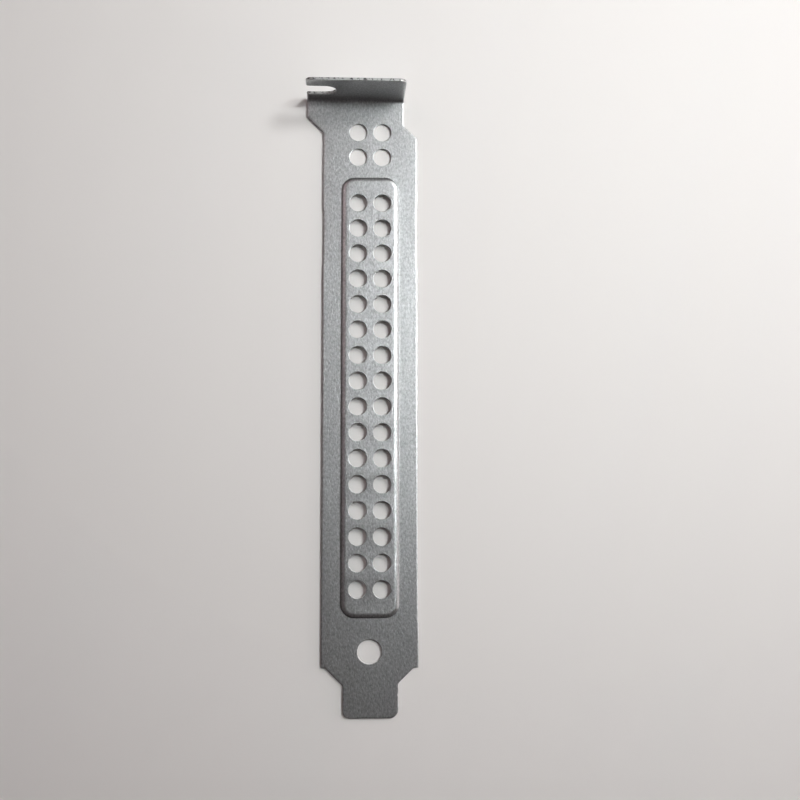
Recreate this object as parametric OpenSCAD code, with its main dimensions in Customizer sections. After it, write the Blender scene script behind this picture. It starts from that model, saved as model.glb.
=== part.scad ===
// Full-height expansion-slot cover: one sheet-steel blank, punched, drawn and folded.
// It lies on its back. X runs across it, Y runs up to the flange, Z is the way the flange stands.
// The origin is the centre of the round hole, on the back face.

/* [Sheet] */
// Thickness of the steel sheet
sheet_t = 0.6; // [0.4:0.05:1.2]
// Inside radius of the fold between neck and flange
fold_r = 0.6; // [0.3:0.1:1.2]
// Corner radius left by the blanking punches
blank_r = 0.5; // [0.1:0.1:0.8]

/* [Body] */
// Length over all, from the tongue's tip to the flange's outer face
overall_l = 120.02; // [100:0.01:150]
// Width of the body
body_w = 18.42; // [16.5:0.01:22]
// Sideways offset of the body's sheared sides from the centreline of the holes
body_shift = 0; // [-0.4:0.05:0.4]

/* [Neck and flange] */
// Width of the neck and of the flange
neck_w = 19.05; // [17:0.01:21]
// How far the neck stands out past the body's left side
neck_reach = 3.2; // [1:0.1:4]
// Length of the neck's left side, from the flange's outer face to the sloping corner
neck_left_l = 4; // [3:0.05:6]
// Length of the neck's right side, from the flange's outer face to the sloping corner
neck_right_l = 5.6; // [3:0.05:8]
// Height of the flange's top edge above the back face
flange_h = 11.43; // [10.6:0.01:16]
// Radius of the flange's two top corners
flange_r = 1.35; // [0.3:0.05:1.8]

/* [Screw notch] */
// Width of the notch
notch_w = 4.42; // [4.2:0.01:5]
// Depth of the notch from the flange's left end to the bottom of its round end
notch_depth = 5.7; // [4:0.05:12]
// Height of the notch's middle above the back face
notch_rise = 5.9; // [5:0.05:6]
// Radius of the two corners at the notch's mouth
mouth_r = 0.5; // [0.1:0.05:0.7]

/* [Shoulders and tongue] */
// Distance from the tongue's tip to the shoulders
shoulder_from_tip = 9.4; // [8:0.05:9.8]
// Flat length of each shoulder, for a body centred on the holes
shoulder_flat = 0.83; // [0.6:0.01:2]
// Width of the tongue
tongue_w = 10.55; // [8:0.05:13]
// Sideways offset of the tongue from the centreline of the holes
tongue_shift = 0.2; // [-0.4:0.05:0.4]
// Radius of the tongue's left corner
tongue_left_r = 1.3; // [0.5:0.05:3]
// Radius of the tongue's right corner
tongue_right_r = 1.7; // [0.5:0.05:3]

/* [Round hole] */
// Diameter of the round hole
hole_d = 4.65; // [3:0.05:5.5]
// Distance from the tongue's tip to the middle of the round hole
hole_from_tip = 12.4; // [12.2:0.05:15]

/* [Vents] */
// Diameter of each vent hole
vent_d = 3.45; // [2:0.05:4]
// Spacing of the vent columns
vent_pitch_x = 4.68; // [4.2:0.01:5]
// Spacing of the vent rows
vent_pitch_y = 4.97; // [4.2:0.01:6]
// Distance from the flange's outer face to the first of the two rows in the flat sheet
flat_vents_from_flange = 7.05; // [6:0.05:7.5]
// Smallest distance from the panel's end to the middle of a vent
vent_end_gap = 4.6; // [4.4:0.05:12]

/* [Raised panel] */
// Height of the drawn panel above the sheet
panel_h = 0.8; // [0.4:0.05:1.4]
// Width of the panel over its foot
panel_w = 11.3; // [10.9:0.05:14]
// Distance from the tongue's tip to the panel's lower end
panel_from_tip = 18.9; // [17.5:0.05:40]
// Distance from the flange's outer face to the panel's upper end
panel_from_flange = 16.1; // [15:0.05:40]
// Corner radius of the panel over its foot
panel_corner_r = 2.4; // [2.2:0.05:4]
// Radius of the front surface where the wall leaves the sheet
panel_foot_r = 0.1; // [0.1:0.05:0.5]
// Radius of the back surface where the wall meets the top
panel_top_r = 0.4; // [0.1:0.05:0.5]
// Slope of the wall
panel_slope = 68; // [40:1:75]

/* [Punch marks] */
// Distance from the tongue's tip to the lower end of the carrier-strip cuts
strip_from_tip = 86.7; // [50:0.1:92]
// Length of the carrier-strip cuts
strip_l = 10.5; // [4:0.1:12]
// Depth of the carrier-strip cuts
strip_bite = 0.1; // [0.05:0.01:0.2]
// Distance from the tongue's tip to the nicks where two punches met
nick_from_tip = 4.1; // [3.2:0.05:5]
// Length of a nick
nick_l = 0.5; // [0.3:0.05:0.8]
// Depth of a nick
nick_bite = 0.15; // [0.05:0.01:0.25]
// Distance from the tongue's tip to where the body's two punches met
joint_from_tip = 17.7; // [12:0.1:40]
// Step in the body's right side below that joint, and depth of the nick in its left side
joint_step = 0.1; // [0.05:0.01:0.2]

/* [Hidden] */
$fn = 64;
fold_turn = 90;
vent_cols = 2;
flat_rows = 2;
// How far a cutter runs past the face that it cuts
overrun = 1;

// Places along the length, measured from the round hole
tip_y = -hole_from_tip;
flange_y = tip_y + overall_l;
fold_y = flange_y - sheet_t - fold_r;
shoulder_y = tip_y + shoulder_from_tip;
neck_left_y = flange_y - neck_left_l;
neck_right_y = flange_y - neck_right_l;
flat_vents_y = flange_y - flat_vents_from_flange;
strip_y = tip_y + strip_from_tip;
nick_y = tip_y + nick_from_tip;
joint_y = tip_y + joint_from_tip;

// Places across the width, measured from the centreline of the holes
body_left = body_shift - body_w / 2;
body_right = body_shift + body_w / 2;
neck_left = body_left - neck_reach;
neck_right = neck_left + neck_w;
neck_step = abs(body_right - neck_right);
tongue_left = tongue_shift - tongue_w / 2;
tongue_right = tongue_shift + tongue_w / 2;
shoulder_half = body_w / 2 - shoulder_flat;

// The panel's drawn wall: two arcs of the sheet's own thickness with a flat between them
wall_arcs = panel_foot_r + panel_top_r + sheet_t;
steepest = 0.95 * acos(1 - min(panel_h / wall_arcs, 1));
wall_slope = min(panel_slope, steepest);
wall_flat = (panel_h - wall_arcs * (1 - cos(wall_slope))) / sin(wall_slope);
wall_w = wall_arcs * sin(wall_slope) + wall_flat * cos(wall_slope);
panel_y = tip_y + panel_from_tip;
panel_l = overall_l - panel_from_tip - panel_from_flange;
corner_r = max(panel_corner_r, wall_w + panel_top_r);

// The vents' rows fill the panel at their spacing and are centred in it
vent_rows = 1 + floor((panel_l - 2 * vent_end_gap) / vent_pitch_y);
vents_y = panel_y + (panel_l - (vent_rows - 1) * vent_pitch_y) / 2;

function toward(from, to) = (to - from) / norm(to - from);
function on_circle(r, angle) = r * [cos(angle), sin(angle)];

// The sliver between a sharp corner and the arc that rounds it
module corner_sliver(before, at, after, r) {
    back = toward(at, before);
    ahead = toward(at, after);
    half = acos(back * ahead) / 2;
    reach = r / tan(half);
    middle = at + toward([0, 0], back + ahead) * r / sin(half);
    difference() {
        polygon([at, at + back * reach, middle, at + ahead * reach]);
        translate(middle)
            circle(r);
    }
}

// An outline whose corners are given counter-clockwise as [x, y, radius]
module rounded_outline(corners) {
    count = len(corners);
    points = [for (corner = corners) [corner.x, corner.y]];
    before = [for (i = [0:count - 1]) points[(i + count - 1) % count]];
    after = [for (i = [0:count - 1]) points[(i + 1) % count]];
    hollow = [for (i = [0:count - 1]) cross(points[i] - before[i], after[i] - points[i]) < 0];
    difference() {
        union() {
            polygon(points);
            for (i = [0:count - 1])
                if (hollow[i] && corners[i].z > 0)
                    corner_sliver(before[i], points[i], after[i], corners[i].z);
        }
        for (i = [0:count - 1])
            if (!hollow[i] && corners[i].z > 0)
                corner_sliver(before[i], points[i], after[i], corners[i].z);
    }
}

// Part of a ring of sheet, between two angles less than a half turn apart
module sheet_arc(inner_r, from, to) {
    outer_r = inner_r + sheet_t;
    far = 2 * outer_r;
    intersection() {
        difference() {
            circle(outer_r);
            circle(inner_r);
        }
        polygon([[0, 0], on_circle(far, from), on_circle(far, (from + to) / 2), on_circle(far, to)]);
    }
}

// The flat blank from the tongue's tip to the fold, with the nicks and the carrier-strip cuts
module blank_outline() {
    difference() {
        rounded_outline([
            [tongue_left, tip_y, tongue_left_r],
            [tongue_right, tip_y, tongue_right_r],
            [tongue_right, shoulder_y - (shoulder_half - tongue_right), blank_r],
            [shoulder_half, shoulder_y, blank_r],
            [body_right + joint_step, shoulder_y, 0],
            [body_right + joint_step, joint_y, 0],
            [body_right, joint_y, 0],
            [body_right, neck_right_y - neck_step, blank_r],
            [neck_right, neck_right_y, blank_r],
            [neck_right, fold_y, 0],
            [neck_left, fold_y, 0],
            [neck_left, neck_left_y, blank_r],
            [body_left, neck_left_y - neck_reach, blank_r],
            [body_left, shoulder_y, blank_r / 2],
            [-shoulder_half, shoulder_y, blank_r],
            [tongue_left, shoulder_y - (shoulder_half + tongue_left), blank_r]
        ]);
        translate([tongue_right - nick_bite, nick_y])
            square([overrun, nick_l]);
        translate([body_right - strip_bite, strip_y])
            square([overrun, strip_l]);
        translate([body_left - overrun + strip_bite, strip_y])
            square([overrun, strip_l]);
        translate([body_left - overrun + strip_bite + nick_bite, strip_y + strip_l - nick_l])
            square([overrun, nick_l]);
        translate([body_left - overrun + joint_step, joint_y])
            square([overrun, nick_l]);
    }
}

// The panel's outline, drawn in from its foot by a margin
module panel_outline(margin) {
    left = -panel_w / 2 + margin;
    right = panel_w / 2 - margin;
    low = panel_y + margin;
    high = panel_y + panel_l - margin;
    r = corner_r - margin;
    rounded_outline([[left, low, r], [right, low, r], [right, high, r], [left, high, r]]);
}

// The drawn wall's section: X is the distance in from the foot, Y is the height
module wall_section() {
    foot_y = sheet_t + panel_foot_r;
    top_y = panel_h - panel_top_r;
    outward = on_circle(1, 90 + wall_slope);
    translate([0, foot_y])
        sheet_arc(panel_foot_r, -90, wall_slope - 90);
    translate([wall_w, top_y])
        sheet_arc(panel_top_r, 90, 90 + wall_slope);
    polygon([
        [0, foot_y] - panel_foot_r * outward,
        [0, foot_y] - (panel_foot_r + sheet_t) * outward,
        [wall_w, top_y] + panel_top_r * outward,
        [wall_w, top_y] + (panel_top_r + sheet_t) * outward
    ]);
}

// A straight run of the wall along +Y from the origin, rising toward +X
module straight_wall(length) {
    translate([0, length, 0])
        rotate([90, 0, 0])
            linear_extrude(length)
                wall_section();
}

// A quarter turn of the wall round the origin, from +X to +Y
module corner_wall() {
    rotate_extrude(angle = 90)
        translate([corner_r, 0])
            mirror([1, 0])
                wall_section();
}

// The drawn panel: a wall all round and a flat top, with its vents
module panel() {
    half_w = panel_w / 2;
    half_l = panel_l / 2;
    straight_w = panel_w - 2 * corner_r;
    straight_l = panel_l - 2 * corner_r;
    translate([0, panel_y + half_l, 0])
        for (turn = [0, 180])
            rotate([0, 0, turn]) {
                translate([-half_w, -straight_l / 2, 0])
                    straight_wall(straight_l);
                translate([straight_w / 2, -half_l, 0])
                    rotate([0, 0, 90])
                        straight_wall(straight_w);
                translate([straight_w / 2, straight_l / 2, 0])
                    corner_wall();
                translate([-straight_w / 2, straight_l / 2, 0])
                    rotate([0, 0, 90])
                        corner_wall();
            }
    translate([0, 0, panel_h])
        linear_extrude(sheet_t)
            panel_outline(wall_w);
}

// The quarter-round fold and the flange with its screw notch
module fold_and_flange() {
    translate([neck_left, fold_y, sheet_t + fold_r])
        rotate([90, 0, 90])
            linear_extrude(neck_w)
                sheet_arc(fold_r, -fold_turn, 0);
    translate([0, flange_y, 0])
        rotate([90, 0, 0])
            linear_extrude(sheet_t)
                flange_outline();
}

// The flange's outline: X runs across, Y is the height
module flange_outline() {
    notch_end = neck_left + notch_depth - notch_w / 2;
    notch_low = notch_rise - notch_w / 2;
    notch_high = notch_rise + notch_w / 2;
    difference() {
        rounded_outline([
            [neck_left, sheet_t + fold_r, 0],
            [neck_right, sheet_t + fold_r, 0],
            [neck_right, flange_h, flange_r],
            [neck_left, flange_h, flange_r],
            [neck_left, notch_high, mouth_r],
            [notch_end, notch_high, 0],
            [notch_end, notch_low, 0],
            [neck_left, notch_low, mouth_r]
        ]);
        translate([notch_end, notch_rise])
            circle(d = notch_w);
    }
}

// Rows and columns of vents, upward from the first row
module vents(first_y, rows) {
    for (row = [0:rows - 1])
        for (col = [0:vent_cols - 1])
            translate([(col - (vent_cols - 1) / 2) * vent_pitch_x, first_y + row * vent_pitch_y, -overrun])
                cylinder(h = sheet_t + panel_h + 2 * overrun, d = vent_d);
}

module bracket() {
    color("#a5a9ac")
        difference() {
            union() {
                linear_extrude(sheet_t)
                    difference() {
                        blank_outline();
                        panel_outline(0);
                    }
                panel();
                fold_and_flange();
            }
            vents(vents_y, vent_rows);
            vents(flat_vents_y - (flat_rows - 1) * vent_pitch_y, flat_rows);
            translate([0, 0, -overrun])
                cylinder(h = sheet_t + 2 * overrun, d = hole_d);
        }
}

bracket();
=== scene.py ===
import math

import bmesh
import bpy
from mathutils import Euler, Matrix, Vector


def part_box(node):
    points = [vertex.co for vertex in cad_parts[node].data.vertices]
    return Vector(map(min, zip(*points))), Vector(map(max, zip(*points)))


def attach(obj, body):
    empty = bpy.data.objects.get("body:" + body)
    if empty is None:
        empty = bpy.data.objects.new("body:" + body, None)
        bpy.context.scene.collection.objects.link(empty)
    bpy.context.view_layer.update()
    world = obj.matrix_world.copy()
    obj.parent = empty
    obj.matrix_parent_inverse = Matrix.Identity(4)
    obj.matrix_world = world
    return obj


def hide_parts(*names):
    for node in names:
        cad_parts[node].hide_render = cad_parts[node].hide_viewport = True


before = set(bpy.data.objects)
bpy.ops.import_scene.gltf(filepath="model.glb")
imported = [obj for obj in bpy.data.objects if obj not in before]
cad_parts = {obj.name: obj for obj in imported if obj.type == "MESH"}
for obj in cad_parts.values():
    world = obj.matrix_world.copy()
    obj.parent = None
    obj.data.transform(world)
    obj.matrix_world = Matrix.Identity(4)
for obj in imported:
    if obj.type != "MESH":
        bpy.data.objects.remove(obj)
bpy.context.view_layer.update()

low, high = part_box("bracket")

# ------------------------------------------------------------------------------------------
# Sizes in millimetres. The sheet is modelled in millimetres and scaled to metres at the end.
# The origin is the centre of the round hole on the back face; +Y runs to the flange.

TO_METRES = 0.001
TO_MM = 1 / TO_METRES
TINY = 0.001
FLAT_ENOUGH = 0.999

# The sheet, and what shearing leaves: a rolled front edge and a small break behind
SHEET = 0.6
FOLD_R = 0.6
ROLL_W = 0.3
ROLL_DROP = 0.14
ROLL_STEPS = 5
BREAK_W = 0.04
BREAK_DROP = 0.04
CORNER_R = 0.5
CORNER_STEPS = 6
FOLD_STEPS = 16

# Places along the length
TIP_Y = low.y * TO_MM
FLANGE_Y = high.y * TO_MM
FOLD_Y = FLANGE_Y - SHEET - FOLD_R
SHOULDER_Y = TIP_Y + 9.4
NECK_LEFT_Y = FLANGE_Y - 4.0
NECK_RIGHT_Y = FLANGE_Y - 5.6

# Widths, and places across them. The neck reaches out to the left of the body.
NECK_W = 19.05
BODY_W = 18.42
NECK_REACH = 3.2
NECK_LEFT = low.x * TO_MM
NECK_RIGHT = NECK_LEFT + NECK_W
BODY_LEFT = NECK_LEFT + NECK_REACH
BODY_RIGHT = BODY_LEFT + BODY_W
SHOULDER_HALF = 8.38
TONGUE_LEFT = -5.075
TONGUE_RIGHT = 5.475
TONGUE_LEFT_R = 1.3
TONGUE_RIGHT_R = 1.7

# The flange and its screw notch
FLANGE_H = high.z * TO_MM
FLANGE_R = 1.35
NOTCH_W = 4.42
NOTCH_R = NOTCH_W / 2
NOTCH_END = NECK_LEFT + 5.7
NOTCH_Z = 5.9
NOTCH_STEPS = 12

# Where the strip that carried the blank was sheared off, and where two punches met
STRIP_L = 10.5
STRIP_LOW = TIP_Y + 86.7
STRIP_HIGH = STRIP_LOW + STRIP_L
STRIP_BITE = 0.1
STRIP_LEAD = 0.35
NICK_BITE = 0.15
NICK_HALF = 0.25
TONGUE_NICK_Y = TIP_Y + 4.35
JOINT_Y = TIP_Y + 17.7
JOINT_RIGHT = high.x * TO_MM
JOINT_BITE = JOINT_RIGHT - BODY_RIGHT

# The holes. The flat rows are placed from the flange, and the panel's from its upper edge.
ROUND_HOLE_D = 4.65
VENT_D = 3.45
VENT_PITCH_X = 4.68
VENT_PITCH_Y = 4.97
FLAT_ROWS = 2
FLANGE_TO_VENTS = 7.05
FLAT_VENTS_LOW = FLANGE_Y - FLANGE_TO_VENTS - (FLAT_ROWS - 1) * VENT_PITCH_Y
PANEL_ROWS = 16
PANEL_TO_VENTS = 5.235
HOLE_STEPS = 64
HOLE_ROLL_W = 0.07
HOLE_ROLL_DROP = 0.05
HOLE_ROLL_STEPS = 3

# A flat margin round each rolled edge and round the panel, which keeps the flats' shading true
MARGIN = 0.08
HOLE_MARGIN = 0.05

# The drawn panel: its wall rises steeply from the sheet and crowns over to the flat top
PANEL_H = 0.8
PANEL_HALF_W = 5.65
PANEL_LOW = TIP_Y + 18.65
PANEL_HIGH = FLANGE_Y - 16.1
PANEL_CORNER_R = 2.7
PANEL_CORNER_STEPS = 14
PANEL_VENTS_LOW = PANEL_HIGH - PANEL_TO_VENTS - (PANEL_ROWS - 1) * VENT_PITCH_Y
WALL_SLOPE = math.radians(68)
CROWN_SLOPE = math.radians(22)
FOOT_R = 0.1
KNEE_R = 0.2
CROWN_R = 1.8
TOP_R = 0.4
WALL_STEPS = 4

# The zinc: its grain, the clouds in its sheen, and its tones as stops along the grain's pattern
GRAIN_SIZE = 0.33
GRAIN_STRETCH = 1.8
GRAIN_DEPTH = 0.04
CLOUD_SIZE = 1.2
CLOUD_LEAST = 0.3
CLOUD_MOST = 0.7
ZINC_ROUGHNESS = 0.36
ZINC_ROUGHNESS_SPREAD = 0.02
ZINC_TONES = ((0.3, "#a0a2a3"), (0.75, "#cfd1d2"))

# The waves along the panel's flat. WAVE_LEAN_Y is where they lean most to the flange, which is a
# quarter of a wave short of a trough. The texture starts at a trough, and at scale 1 it turns
# through 20 radians in a metre.
WAVE_LENGTH = 2 * VENT_PITCH_Y
WAVE_LEAN_Y = PANEL_VENTS_LOW + VENT_PITCH_Y
WAVE_DEPTH = 0.07
WAVE_TEXTURE_TURN = 20
LEAN_TO_TROUGH = 0.25

# The cut edges: how wide the torn patches are, and the tones of torn and of burnished steel
TEAR_SIZE = 0.8
CUT_TONES = ((0.39, "#4b4c4c"), (0.49, "#bcbdbd"))


# ------------------------------------------------------------------------------------------
# Sheet-metal work

def round_corner(bm, vert, radius, steps):
    """Rounds one corner of a flat face to a radius."""
    back, ahead = [(edge.other_vert(vert).co - vert.co).normalized() for edge in vert.link_edges]
    turn = math.pi - back.angle(ahead)
    bmesh.ops.bevel(
        bm, geom=[vert], offset=radius * math.tan(turn / 2), offset_type="OFFSET",
        affect="VERTICES", segments=steps, profile=0.5, material=-1, clamp_overlap=False,
    )


def cut_face(bm, corners, steps):
    """A flat face from its corners, each a (place or vertex, radius), in order round it."""
    others = set(bm.faces)
    verts = [place if isinstance(place, bmesh.types.BMVert) else bm.verts.new(place)
             for place, radius in corners]
    bm.faces.new(verts)
    for vert, (place, radius) in zip(verts, corners):
        if radius:
            round_corner(bm, vert, radius, steps)
    return next(face for face in bm.faces if face not in others)


def draw_in(bm, faces, profile):
    """Insets faces ring by ring along a profile of (distance in, height) points."""
    for before, after in zip(profile, profile[1:]):
        bmesh.ops.inset_region(
            bm, faces=faces, use_boundary=True, use_even_offset=True,
            thickness=after[0] - before[0], depth=after[1] - before[1],
        )


def rolled(width, drop, steps, margin):
    """The section of a sheared edge: a quarter ellipse from the wall up to a flat margin."""
    turns = [math.pi / 2 * step / steps for step in range(steps + 1)]
    curve = [(width * (1 - math.cos(turn)), drop * math.sin(turn)) for turn in turns]
    return curve + [(width + margin, drop)]


def open_face(bm, face):
    """Takes a face out and gives the edges of the opening."""
    edges = list(face.edges)
    bmesh.ops.delete(bm, geom=[face], context="FACES_ONLY")
    return edges


def flat_face(bm, side, level):
    """The largest face at a level that looks to the front (side 1) or the back (side -1)."""
    bm.normal_update()
    flat = [face for face in bm.faces
            if face.normal.z * side > FLAT_ENOUGH and abs(face.calc_center_median().z - level) < TINY]
    return max(flat, key=lambda face: face.calc_area())


def sheet_blank(bm):
    """The front face from the tongue to the flange's top, without holes, at its edges' level."""
    level = SHEET - ROLL_DROP
    step = BODY_RIGHT - NECK_RIGHT
    # Across, along and the corner's radius, anticlockwise from the tongue's left corner
    outline = [
        (TONGUE_LEFT, TIP_Y, TONGUE_LEFT_R),
        (TONGUE_RIGHT, TIP_Y, TONGUE_RIGHT_R),
        (TONGUE_RIGHT, TONGUE_NICK_Y - NICK_HALF, 0),
        (TONGUE_RIGHT - NICK_BITE, TONGUE_NICK_Y, 0),
        (TONGUE_RIGHT, TONGUE_NICK_Y + NICK_HALF, 0),
        (TONGUE_RIGHT, SHOULDER_Y - (SHOULDER_HALF - TONGUE_RIGHT), CORNER_R),
        (SHOULDER_HALF, SHOULDER_Y, CORNER_R),
        (JOINT_RIGHT, SHOULDER_Y, 0),
        (JOINT_RIGHT, JOINT_Y, 0),
        (BODY_RIGHT, JOINT_Y + STRIP_LEAD, 0),
        (BODY_RIGHT, STRIP_LOW - STRIP_LEAD, 0),
        (BODY_RIGHT - STRIP_BITE, STRIP_LOW, 0),
        (BODY_RIGHT - STRIP_BITE, STRIP_HIGH, 0),
        (BODY_RIGHT, STRIP_HIGH + STRIP_LEAD, 0),
        (BODY_RIGHT, NECK_RIGHT_Y - step, CORNER_R),
        (NECK_RIGHT, NECK_RIGHT_Y, CORNER_R),
        (NECK_RIGHT, FOLD_Y, 0),
        (NECK_LEFT, FOLD_Y, 0),
        (NECK_LEFT, NECK_LEFT_Y, CORNER_R),
        (BODY_LEFT, NECK_LEFT_Y - NECK_REACH, CORNER_R),
        (BODY_LEFT, STRIP_HIGH + STRIP_LEAD, 0),
        (BODY_LEFT + STRIP_BITE, STRIP_HIGH, 0),
        (BODY_LEFT + STRIP_BITE + NICK_BITE, STRIP_HIGH - NICK_HALF, 0),
        (BODY_LEFT + STRIP_BITE, STRIP_HIGH - 2 * NICK_HALF, 0),
        (BODY_LEFT + STRIP_BITE, STRIP_LOW, 0),
        (BODY_LEFT, STRIP_LOW - STRIP_LEAD, 0),
        (BODY_LEFT, JOINT_Y + 2 * NICK_HALF, 0),
        (BODY_LEFT + JOINT_BITE, JOINT_Y + NICK_HALF, 0),
        (BODY_LEFT, JOINT_Y, 0),
        (BODY_LEFT, SHOULDER_Y, 0),
        (-SHOULDER_HALF, SHOULDER_Y, CORNER_R),
        (TONGUE_LEFT, SHOULDER_Y - (SHOULDER_HALF + TONGUE_LEFT), CORNER_R),
    ]
    cut_face(bm, [((x, y, level), radius) for x, y, radius in outline], CORNER_STEPS)
    fold = [edge for edge in bm.edges if all(abs(vert.co.y - FOLD_Y) < TINY for vert in edge.verts)]
    turned = bmesh.ops.spin(
        bm, geom=fold + list(fold[0].verts), cent=(0, FOLD_Y, SHEET + FOLD_R), axis=(1, 0, 0),
        dvec=(0, 0, 0), angle=math.pi / 2, steps=FOLD_STEPS, use_merge=False,
        use_normal_flip=False, use_duplicate=False,
    )["geom_last"]
    ends = [item for item in turned if isinstance(item, bmesh.types.BMVert)]
    left, right = sorted(ends, key=lambda vert: vert.co.x)
    inner_y = FLANGE_Y - SHEET + ROLL_DROP
    flange = [
        (left, 0),
        (right, 0),
        ((NECK_RIGHT, inner_y, FLANGE_H), FLANGE_R),
        ((NECK_LEFT, inner_y, FLANGE_H), FLANGE_R),
        ((NECK_LEFT, inner_y, NOTCH_Z + NOTCH_R), CORNER_R),
        ((NOTCH_END, inner_y, NOTCH_Z + NOTCH_R), NOTCH_R),
        ((NOTCH_END, inner_y, NOTCH_Z - NOTCH_R), NOTCH_R),
        ((NECK_LEFT, inner_y, NOTCH_Z - NOTCH_R), CORNER_R),
    ]
    cut_face(bm, flange, NOTCH_STEPS)
    bmesh.ops.remove_doubles(bm, verts=bm.verts, dist=TINY)


def give_thickness(bm):
    """Turns the blank's front face into a sheet with sheared edges."""
    front = list(bm.faces)
    bmesh.ops.solidify(bm, geom=front, thickness=SHEET - ROLL_DROP - BREAK_DROP)
    kept = set(front)
    sheared = {face for front_face in front for edge in front_face.edges for face in edge.link_faces}
    sheared -= kept
    back = [face for face in bm.faces if face not in kept and face not in sheared]
    for face in sheared:
        face.material_index = 1
    draw_in(bm, front, rolled(ROLL_W, ROLL_DROP, ROLL_STEPS, MARGIN))
    draw_in(bm, back, [(0, 0), (BREAK_W, BREAK_DROP), (BREAK_W + MARGIN, BREAK_DROP)])


def bend(radius, slope_before, slope_after):
    """The steps along one arc of the wall's section, from one slope to another."""
    turn = (slope_after - slope_before) / WALL_STEPS
    slopes = [slope_before + turn * (step + 0.5) for step in range(WALL_STEPS)]
    chord = 2 * radius * math.sin(abs(turn) / 2)
    return [(chord * math.cos(slope), chord * math.sin(slope)) for slope in slopes]


def wall_section(level, foot_r, *crowns):
    """One face of the drawn wall between flat margins, as points (distance in, height).

    It bends up from the sheet at foot_r to the wall's slope, and the crowns bend it back to the
    flat: each is a radius and the slope that it ends at. The straight wall makes up the height."""
    lower = bend(foot_r, 0, WALL_SLOPE)
    upper, slope = [], WALL_SLOPE
    for radius, after in crowns:
        upper += bend(radius, slope, after)
        slope = after
    straight = PANEL_H - sum(up for along, up in lower + upper)
    points = [(-MARGIN, level), (0, level)]
    for along, up in [*lower, (straight / math.tan(WALL_SLOPE), straight), *upper, (MARGIN, 0)]:
        points.append((points[-1][0] + along, points[-1][1] + up))
    return points


def draw_panel(bm, side, section):
    """One face of the drawn panel. Gives the edges of its foot and its flat top.

    Its long sides are cut into short steps, which keeps the flats' triangles broad."""
    across, level = section[0]
    half_w = PANEL_HALF_W - across
    lower = PANEL_LOW + across
    upper = PANEL_HIGH - across
    corners = [(-half_w, lower), (half_w, lower), (half_w, upper), (-half_w, upper)]
    # The back's corners run the other way round, so that its face looks out
    rounded = [((x, y, level), PANEL_CORNER_R - across) for x, y in corners[::side]]
    earlier = set(bm.edges)
    top = cut_face(bm, rounded, PANEL_CORNER_STEPS)
    sides = [edge for edge in top.edges if edge.calc_length() > VENT_PITCH_Y]
    bmesh.ops.bisect_edges(bm, edges=sides, cuts=2 * PANEL_ROWS)
    draw_in(bm, [top], [(inward, side * height) for inward, height in section])
    foot = [edge for edge in bm.edges if edge.is_boundary and edge not in earlier]
    return foot, top


def punch(bm, place, diameter, front):
    """The wall of a punched hole. Gives the edges of its front mouth and of its back mouth.

    Each hole's ring has its own turn, so that the vertices of neighbours don't line up."""
    radius = diameter / 2
    back = front - SHEET
    lip = rolled(HOLE_ROLL_W, HOLE_ROLL_DROP, HOLE_ROLL_STEPS, HOLE_MARGIN)
    section = [(radius + outward, front - HOLE_ROLL_DROP + up) for outward, up in reversed(lip)]
    section += [
        (radius, back + BREAK_DROP),
        (radius + BREAK_W, back),
        (radius + BREAK_W + HOLE_MARGIN, back),
    ]
    middle = Vector((*place, 0))
    own_turn = place[0] + place[1]
    ring = bmesh.ops.create_circle(
        bm, cap_ends=False, segments=HOLE_STEPS, radius=section[0][0],
        matrix=Matrix.Translation((*place, section[0][1])) @ Matrix.Rotation(own_turn, 4, "Z"),
    )["verts"]
    mouth = list({edge for vert in ring for edge in vert.link_edges})
    edges = mouth
    for (r_before, z_before), (r_after, z_after) in zip(section, section[1:]):
        made = bmesh.ops.extrude_edge_only(bm, edges=edges)["geom"]
        edges = [item for item in made if isinstance(item, bmesh.types.BMEdge)]
        ring = list({vert for edge in edges for vert in edge.verts})
        grow = r_after / r_before
        bmesh.ops.translate(bm, verts=ring, vec=-middle)
        bmesh.ops.scale(bm, verts=ring, vec=(grow, grow, 1))
        bmesh.ops.translate(bm, verts=ring, vec=middle + Vector((0, 0, z_after - z_before)))
    return mouth, edges


def vent_places(first_y, rows):
    """The middles of rows of vents, upward from the first row."""
    return [(half * VENT_PITCH_X / 2, first_y + row * VENT_PITCH_Y)
            for row in range(rows) for half in (-1, 1)]


def slot_cover():
    """The whole cover as one sheet: blanked, folded, drawn and punched."""
    bm = bmesh.new()
    sheet_blank(bm)
    give_thickness(bm)
    # The edges that bound the sheet's flat and the panel's flat, on the front (1) and the back (-1)
    plate, land = {}, {}
    for side, section in (
        (1, wall_section(SHEET, FOOT_R, (KNEE_R, CROWN_SLOPE), (CROWN_R, 0))),
        (-1, wall_section(0, FOOT_R + SHEET, (TOP_R, 0))),
    ):
        plate[side] = open_face(bm, flat_face(bm, side, section[0][1]))
        foot, top = draw_panel(bm, side, section)
        plate[side] += foot
        land[side] = open_face(bm, top)
    for places, diameter, region, front in (
        ([(0, 0)], ROUND_HOLE_D, plate, SHEET),
        (vent_places(FLAT_VENTS_LOW, FLAT_ROWS), VENT_D, plate, SHEET),
        (vent_places(PANEL_VENTS_LOW, PANEL_ROWS), VENT_D, land, PANEL_H + SHEET),
    ):
        for place in places:
            front_mouth, back_mouth = punch(bm, place, diameter, front)
            region[1] += front_mouth
            region[-1] += back_mouth
    for region in (plate, land):
        for side, edges in region.items():
            bmesh.ops.triangle_fill(
                bm, use_beauty=True, use_dissolve=False, edges=edges, normal=(0, 0, side),
            )
    bmesh.ops.recalc_face_normals(bm, faces=bm.faces)
    bmesh.ops.scale(bm, vec=(TO_METRES,) * 3, verts=bm.verts)
    return bm


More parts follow.
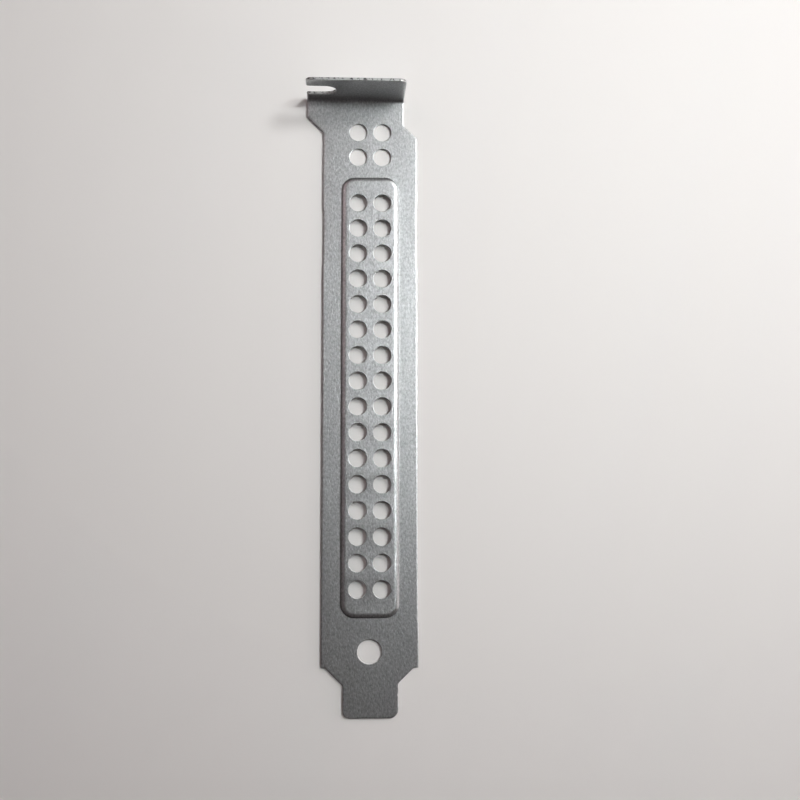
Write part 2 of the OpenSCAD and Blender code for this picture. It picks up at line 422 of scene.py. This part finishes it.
def finished(name, bm, *materials):
    """Makes a bmesh into a smooth-shaded piece with its materials."""
    mesh = bpy.data.meshes.new(name)
    for face in bm.faces:
        face.smooth = True
    bm.to_mesh(mesh)
    bm.free()
    piece = bpy.data.objects.new(name, mesh)
    bpy.context.scene.collection.objects.link(piece)
    for material in materials:
        mesh.materials.append(material)
    return piece


# ------------------------------------------------------------------------------------------
# Finishes

def linear(hex_colour):
    """A linear colour from an sRGB hex value."""
    parts = [int(hex_colour[i:i + 2], 16) / 255 for i in (1, 3, 5)]
    return [part / 12.92 if part <= 0.04045 else ((part + 0.055) / 1.055) ** 2.4 for part in parts] + [1]


def add_node(material, kind, settings=None, **links):
    """Adds a node, with its properties, and its inputs as values or as sockets of other nodes."""
    node = material.node_tree.nodes.new(kind)
    for name, value in (settings or {}).items():
        setattr(node, name, value)
    for name, value in links.items():
        socket = node.inputs[name.replace("_", " ")]
        if isinstance(value, bpy.types.NodeSocket):
            material.node_tree.links.new(value, socket)
        else:
            socket.default_value = value
    return node


def new_material(name):
    """A material without nodes."""
    material = bpy.data.materials.new(name)
    material.use_nodes = True
    material.node_tree.nodes.clear()
    return material


def galvanised_sheet():
    """Hot-dip galvanised sheet, skin-passed: dull zinc whose fine grain is drawn out along the strip.

    The grain is a little coarser than the real zinc's, so that it shows. Softer clouds in the
    roughness break up the broad sheen on the flats. The panel's flat is faintly wavy, since its
    vents were punched two rows at a blow, and so it shows light and dark bands."""
    material = new_material("galvanised_sheet")
    place = add_node(material, "ShaderNodeTexCoord").outputs["Object"]
    strip = add_node(
        material, "ShaderNodeMapping", Vector=place, Scale=(TO_MM, TO_MM / GRAIN_STRETCH, TO_MM),
    ).outputs["Vector"]
    grain = add_node(
        material, "ShaderNodeTexNoise", Vector=strip, Scale=1 / GRAIN_SIZE, Detail=1.5, Roughness=0.8,
    ).outputs["Fac"]
    clouds = add_node(
        material, "ShaderNodeTexNoise", Vector=strip, Scale=1 / CLOUD_SIZE, Detail=1.0,
    ).outputs["Fac"]
    tones = add_node(material, "ShaderNodeValToRGB", Fac=grain)
    for stop, (at, tone) in zip(tones.color_ramp.elements, ZINC_TONES):
        stop.position = at
        stop.color = linear(tone)
    sheen = add_node(
        material, "ShaderNodeMapRange", Value=clouds, From_Min=CLOUD_LEAST, From_Max=CLOUD_MOST,
        To_Min=ZINC_ROUGHNESS - ZINC_ROUGHNESS_SPREAD, To_Max=ZINC_ROUGHNESS + ZINC_ROUGHNESS_SPREAD,
    ).outputs["Result"]
    wave = add_node(
        material, "ShaderNodeTexWave", {"wave_type": "BANDS", "bands_direction": "Y"},
        Vector=place, Scale=math.tau * TO_MM / (WAVE_TEXTURE_TURN * WAVE_LENGTH),
        Phase_Offset=-math.tau * (WAVE_LEAN_Y / WAVE_LENGTH + LEAN_TO_TROUGH),
    ).outputs["Fac"]
    level = add_node(material, "ShaderNodeSeparateXYZ", Vector=place).outputs["Z"]
    on_panel = add_node(
        material, "ShaderNodeMapRange", Value=level,
        From_Min=(PANEL_H + SHEET / 2) * TO_METRES, From_Max=(PANEL_H + SHEET) * TO_METRES,
    ).outputs["Result"]
    waviness = add_node(
        material, "ShaderNodeBump", Height=wave, Strength=on_panel, Distance=WAVE_DEPTH * TO_METRES,
    ).outputs["Normal"]
    relief = add_node(
        material, "ShaderNodeBump", Height=grain, Distance=GRAIN_DEPTH * TO_METRES, Normal=waviness,
    ).outputs["Normal"]
    shader = add_node(
        material, "ShaderNodeBsdfPrincipled", Metallic=1.0, Roughness=sheen,
        Base_Color=tones.outputs["Color"], Normal=relief,
    )
    add_node(material, "ShaderNodeOutputMaterial", Surface=shader.outputs["BSDF"])
    return material


def sheared_edge():
    """The cut through the sheet: bare steel burnished by the punch, with dull torn patches."""
    material = new_material("sheared_steel_edge")
    place = add_node(material, "ShaderNodeTexCoord").outputs["Object"]
    along = add_node(
        material, "ShaderNodeMapping", Vector=place, Scale=(TO_MM, TO_MM, 0),
    ).outputs["Vector"]
    tears = add_node(
        material, "ShaderNodeTexNoise", Vector=along, Scale=1 / TEAR_SIZE, Detail=2.0,
    ).outputs["Fac"]
    tones = add_node(material, "ShaderNodeValToRGB", Fac=tears)
    for stop, (at, tone) in zip(tones.color_ramp.elements, CUT_TONES):
        stop.position = at
        stop.color = linear(tone)
    shader = add_node(
        material, "ShaderNodeBsdfPrincipled", Metallic=1.0, Roughness=0.45,
        Base_Color=tones.outputs["Color"],
    )
    add_node(material, "ShaderNodeOutputMaterial", Surface=shader.outputs["BSDF"])
    return material


def matt_board():
    """Matt white card, faintly warm: an even, pale ground without a sheen."""
    material = new_material("matt_board")
    shader = add_node(
        material, "ShaderNodeBsdfPrincipled", Roughness=0.9, Base_Color=linear("#f2f1ef"),
    )
    add_node(material, "ShaderNodeOutputMaterial", Surface=shader.outputs["BSDF"])
    return material


# ------------------------------------------------------------------------------------------
# The piece

cover = finished("slot_cover", slot_cover(), galvanised_sheet(), sheared_edge())
cover.modifiers.new("flat_faces_stay_flat", "WEIGHTED_NORMAL")
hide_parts("bracket")
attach(cover, "root")

# ------------------------------------------------------------------------------------------
# The stage

FLOOR_HALF = 3.0
FLOOR_GAP = 0.00002

floor_mesh = bmesh.new()
bmesh.ops.create_grid(floor_mesh, x_segments=1, y_segments=1, size=FLOOR_HALF)
bmesh.ops.translate(floor_mesh, verts=floor_mesh.verts, vec=(0, 0, low.z - FLOOR_GAP))
floor = finished("floor", floor_mesh, matt_board())

scene = bpy.context.scene
scene.view_settings.view_transform = "Standard"

# The camera looks down from a little over 0.2 m, a few degrees off the plumb line
camera_data = bpy.data.cameras.new("camera")
camera_data.sensor_width = 36
camera_data.lens = 52.63
camera_data.clip_start = 0.01
camera = bpy.data.objects.new("camera", camera_data)
camera.location = Vector((-5.0, 28.61, 225.12)) * TO_METRES
camera.rotation_euler = Euler((0.08537, -0.04802, -0.0006))
scene.collection.objects.link(camera)
scene.camera = camera

world = bpy.data.worlds.new("room")
world.use_nodes = True
room_light = world.node_tree.nodes["Background"].inputs
room_light["Color"].default_value = linear("#ffebea")
room_light["Strength"].default_value = 0.06
scene.world = world

middle = Vector((0, (low.y + high.y) / 2, 0))


def soft_lamp(name, place, aim, watts, colour, width, height=0, spread=180):
    """A soft lamp, rectangular or (with no height) round.

    Its place and the point it is aimed at are in metres from the middle of the cover."""
    data = bpy.data.lights.new(name, "AREA")
    data.shape = "RECTANGLE" if height else "DISK"
    data.size = width
    data.size_y = height
    data.energy = watts
    data.color = linear(colour)[:3]
    data.spread = math.radians(spread)
    lamp = bpy.data.objects.new(name, data)
    lamp.location = middle + Vector(place)
    lamp.rotation_euler = (Vector(aim) - Vector(place)).to_track_quat("-Z", "Y").to_euler()
    lamp.visible_camera = False
    scene.collection.objects.link(lamp)


soft_lamp("key", place=(0.258, 0.12, 0.6), aim=(0.05, 0.07, 0),
          watts=0.103, colour="#fbffff", width=0.15, spread=40)
soft_lamp("right_lamp", place=(0.24, 0.22, 0.36), aim=(0.06, 0.06, 0),
          watts=0.9, colour="#fffefd", width=0.13)
soft_lamp("right_window", place=(0.6, 0, 0.12), aim=(0, 0, 0.12),
          watts=1.7, colour="#fff3f1", width=0.5, height=0.24)
soft_lamp("left_fill", place=(-0.44, 0.3, 0.6), aim=(0, 0, 0),
          watts=0.55, colour="#ffe6e6", width=0.45)
